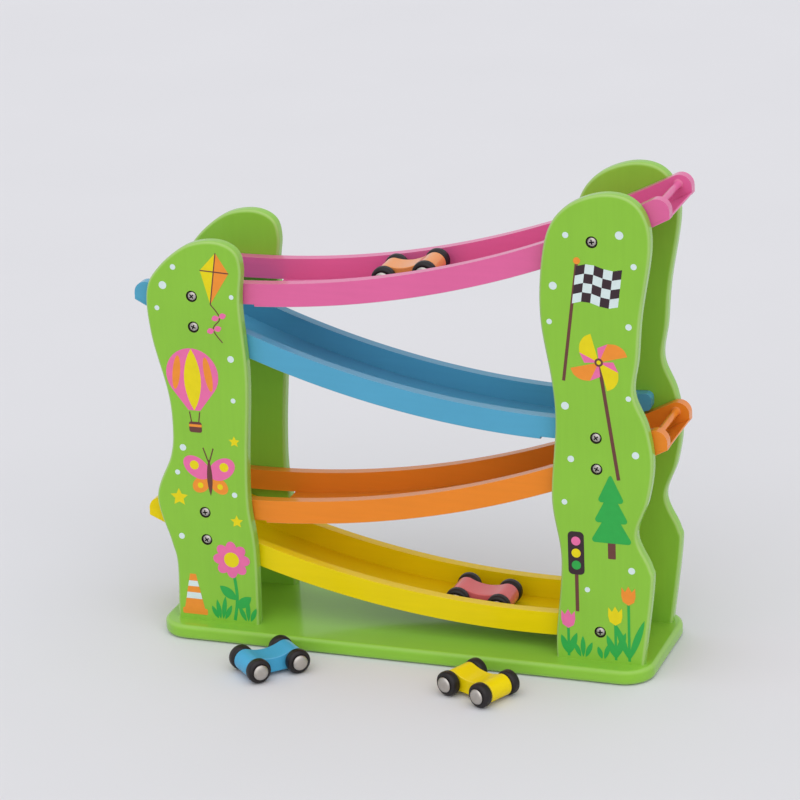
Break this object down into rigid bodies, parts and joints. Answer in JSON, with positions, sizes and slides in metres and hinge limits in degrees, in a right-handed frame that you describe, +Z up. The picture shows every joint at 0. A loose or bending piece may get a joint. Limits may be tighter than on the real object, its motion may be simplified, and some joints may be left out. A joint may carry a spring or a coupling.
{
  "type": "wooden racing track",
  "caption": "Zig-zag wooden car ramp: curved tracks between wavy uprights on a base plate, with small cars that roll down and drop from track to track.",
  "frame": {"origin": "middle of the base plate's underside, on the table", "axes": "+X along the length towards the tall uprights, +Y towards the back, +Z up"},
  "size_m": [0.3655, 0.1646, 0.3281],
  "materials": {
    "green_wood": "painted, satin",
    "pink_wood": "painted, satin",
    "blue_wood": "painted, satin",
    "orange_wood": "painted, satin",
    "yellow_wood": "painted, satin",
    "orange_car_wood": "painted, satin",
    "red_car_wood": "painted, satin",
    "blue_car_wood": "painted, satin",
    "yellow_car_wood": "painted, satin",
    "nickel": "nickel-plated, polished",
    "tyre_black": "matt black"
  },
  "bodies": {
    "track": {"base_plate": "green_wood", "upright_front_left": "green_wood", "upright_back_left": "green_wood", "upright_front_right": "green_wood", "upright_back_right": "green_wood", "pink_rail_front": "pink_wood", "pink_rail_back": "pink_wood", "pink_floor": "pink_wood", "pink_end_bar": "pink_wood", "screw_pink_left": "nickel", "screw_pink_right": "nickel", "blue_rail_front": "blue_wood", "blue_rail_back": "blue_wood", "blue_floor": "blue_wood", "blue_end_bar": "blue_wood", "screw_blue_left": "nickel", "screw_blue_right": "nickel", "orange_rail_front": "orange_wood", "orange_rail_back": "orange_wood", "orange_floor": "orange_wood", "orange_end_bar": "orange_wood", "screw_orange_left": "nickel", "screw_orange_right": "nickel", "yellow_rail_front": "yellow_wood", "yellow_rail_back": "yellow_wood", "yellow_floor": "yellow_wood", "yellow_end_bar": "yellow_wood", "screw_yellow_left": "nickel", "screw_yellow_right": "nickel"},
    "orange_car": {"orange_car_body": "orange_car_wood"},
    "orange_car_front_wheelset": {"orange_car_front_axle": "nickel", "orange_car_wheel_front_left": "tyre_black", "orange_car_wheel_front_right": "tyre_black"},
    "orange_car_rear_wheelset": {"orange_car_rear_axle": "nickel", "orange_car_wheel_rear_left": "tyre_black", "orange_car_wheel_rear_right": "tyre_black"},
    "red_car": {"red_car_body": "red_car_wood"},
    "red_car_front_wheelset": {"red_car_front_axle": "nickel", "red_car_wheel_front_left": "tyre_black", "red_car_wheel_front_right": "tyre_black"},
    "red_car_rear_wheelset": {"red_car_rear_axle": "nickel", "red_car_wheel_rear_left": "tyre_black", "red_car_wheel_rear_right": "tyre_black"},
    "blue_car": {"blue_car_body": "blue_car_wood"},
    "blue_car_front_wheelset": {"blue_car_front_axle": "nickel", "blue_car_wheel_front_left": "tyre_black", "blue_car_wheel_front_right": "tyre_black"},
    "blue_car_rear_wheelset": {"blue_car_rear_axle": "nickel", "blue_car_wheel_rear_left": "tyre_black", "blue_car_wheel_rear_right": "tyre_black"},
    "yellow_car": {"yellow_car_body": "yellow_car_wood"},
    "yellow_car_front_wheelset": {"yellow_car_front_axle": "nickel", "yellow_car_wheel_front_left": "tyre_black", "yellow_car_wheel_front_right": "tyre_black"},
    "yellow_car_rear_wheelset": {"yellow_car_rear_axle": "nickel", "yellow_car_wheel_rear_left": "tyre_black", "yellow_car_wheel_rear_right": "tyre_black"}
  },
  "joints": [
    {"name": "orange_car_roll", "type": "hinge", "parent": "track", "child": "orange_car", "pos_m": [-0.1245, 0, 0.87853], "axis": [0, -1, 0], "range_deg": [-7.4, 13.8]},
    {"name": "orange_car_front_spin", "type": "hinge", "parent": "orange_car", "child": "orange_car_front_wheelset", "pos_m": [0.0152, 0.0024, 0.25812], "axis": [0, 1, 0], "range_deg": [-780, 1400]},
    {"name": "orange_car_rear_spin", "type": "hinge", "parent": "orange_car", "child": "orange_car_rear_wheelset", "pos_m": [-0.01293, 0.0024, 0.25244], "axis": [0, 1, 0], "range_deg": [-780, 1400]},
    {"name": "red_car_roll", "type": "hinge", "parent": "track", "child": "red_car", "pos_m": [0.0865, 0, 0.6668], "axis": [0, 1, 0], "range_deg": [-7.4, 17.5]},
    {"name": "red_car_front_spin", "type": "hinge", "parent": "red_car", "child": "red_car_front_wheelset", "pos_m": [0.05986, -0.0035, 0.03141], "axis": [0, -1, 0], "range_deg": [-780, 1760]},
    {"name": "red_car_rear_spin", "type": "hinge", "parent": "red_car", "child": "red_car_rear_wheelset", "pos_m": [0.03122, -0.0035, 0.03326], "axis": [0, -1, 0], "range_deg": [-780, 1760]},
    {"name": "blue_car_roll", "type": "slide", "parent": "track", "child": "blue_car", "axis": [0.682, 0.7314, 0], "range_m": [-0.06, 0.004]},
    {"name": "blue_car_front_spin", "type": "hinge", "parent": "blue_car", "child": "blue_car_front_wheelset", "pos_m": [-0.06751, -0.0748, 0.00825], "axis": [-0.7314, 0.682, 0], "range_deg": [-580, 90]},
    {"name": "blue_car_rear_spin", "type": "hinge", "parent": "blue_car", "child": "blue_car_rear_wheelset", "pos_m": [-0.08709, -0.0958, 0.00825], "axis": [-0.7314, 0.682, 0], "range_deg": [-580, 90]},
    {"name": "yellow_car_roll", "type": "slide", "parent": "track", "child": "yellow_car", "axis": [0.9026, -0.4305, 0], "range_m": [-0.015, 0.06]},
    {"name": "yellow_car_front_spin", "type": "hinge", "parent": "yellow_car", "child": "yellow_car_front_wheelset", "pos_m": [0.08075, -0.09288, 0.00825], "axis": [0.4305, 0.9026, 0], "range_deg": [-190, 580]},
    {"name": "yellow_car_rear_spin", "type": "hinge", "parent": "yellow_car", "child": "yellow_car_rear_wheelset", "pos_m": [0.05485, -0.08052, 0.00825], "axis": [0.4305, 0.9026, 0], "range_deg": [-190, 580]}
  ],
  "couplings": [
    {"joint": "orange_car_front_spin", "follows": "orange_car_roll", "ratio": 78.085},
    {"joint": "orange_car_rear_spin", "follows": "orange_car_roll", "ratio": 78.085},
    {"joint": "red_car_front_spin", "follows": "red_car_roll", "ratio": 78.085},
    {"joint": "red_car_rear_spin", "follows": "red_car_roll", "ratio": 78.085},
    {"joint": "blue_car_front_spin", "follows": "blue_car_roll", "rad_per_m": 121.21},
    {"joint": "blue_car_rear_spin", "follows": "blue_car_roll", "rad_per_m": 121.21},
    {"joint": "yellow_car_front_spin", "follows": "yellow_car_roll", "rad_per_m": 121.21},
    {"joint": "yellow_car_rear_spin", "follows": "yellow_car_roll", "rad_per_m": 121.21}
  ]
}
